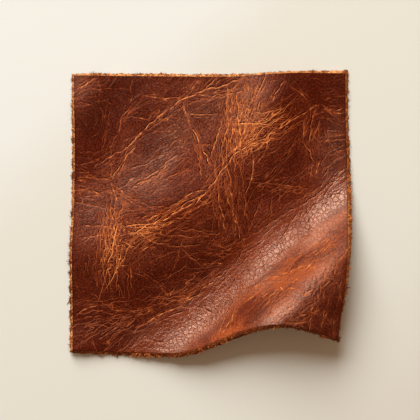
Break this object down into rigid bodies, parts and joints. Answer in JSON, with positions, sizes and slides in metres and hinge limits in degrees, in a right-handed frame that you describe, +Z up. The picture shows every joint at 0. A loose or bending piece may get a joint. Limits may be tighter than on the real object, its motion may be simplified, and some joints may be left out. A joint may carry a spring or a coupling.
{
  "type": "piece of leather",
  "caption": "Square cut piece of creased pull-up leather, lying grain side up with low swells and one front corner raised in a slanting wave; slightly fuzzy raw cut edges.",
  "frame": {"origin": "middle of the outline's box, on the surface that the leather rests on", "axes": "+X to the right along the front edge, +Y from the front edge to the back edge, +Z up; the raised corner is at +X, -Y"},
  "size_m": [0.1017, 0.1035, 0.0152],
  "materials": {
    "leather": "waxy pull-up grain side in reddish brown, paler orange-tan where it is creased or stretched, tan suede on the flesh side and the cut edges"
  },
  "bodies": {
    "root": {"leather": "leather"}
  },
  "joints": []
}
